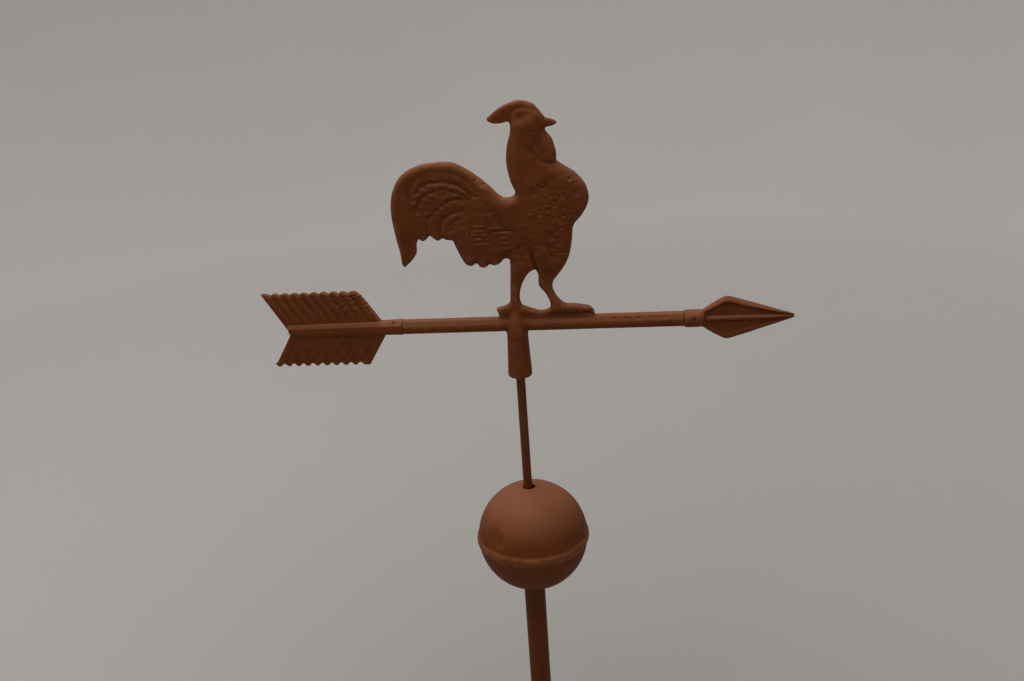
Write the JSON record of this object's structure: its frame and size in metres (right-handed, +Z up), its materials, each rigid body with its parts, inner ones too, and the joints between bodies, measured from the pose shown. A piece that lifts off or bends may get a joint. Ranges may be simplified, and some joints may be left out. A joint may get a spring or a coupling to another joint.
{
  "type": "weathervane",
  "caption": "Weathervane with a cast cockerel standing on a fletched arrow that turns freely on a rod above a mast with a hollow ball.",
  "frame": {"origin": "centre of the mast's flat lower end, on the axis that the vane turns about", "axes": "+Z up along the mast, +X towards the arrow's tip at rest, the cockerel's flat sides face +Y and -Y"},
  "size_m": [0.459, 0.1056, 0.7092],
  "materials": {
    "mast_paint": "matt brown paint",
    "rod_paint": "matt brown paint",
    "ball_paint": "matt brown paint, dusty above",
    "cast_paint": "matt brown paint on a sand casting",
    "pin_paint": "painted steel pin"
  },
  "bodies": {
    "mast": {"mast": "mast_paint", "spindle_rod": "rod_paint", "ball_upper_half": "ball_paint", "ball_lower_half": "ball_paint"},
    "vane": {"cockerel_and_shaft": "cast_paint", "fletching": "cast_paint", "arrowhead": "cast_paint", "fletching_pin": "pin_paint", "arrowhead_pin": "pin_paint"}
  },
  "joints": [
    {"name": "vane_turn", "type": "hinge", "parent": "mast", "child": "vane", "pos_m": [0, 0, 0.5], "axis": [0, 0, 1], "continuous": true}
  ]
}
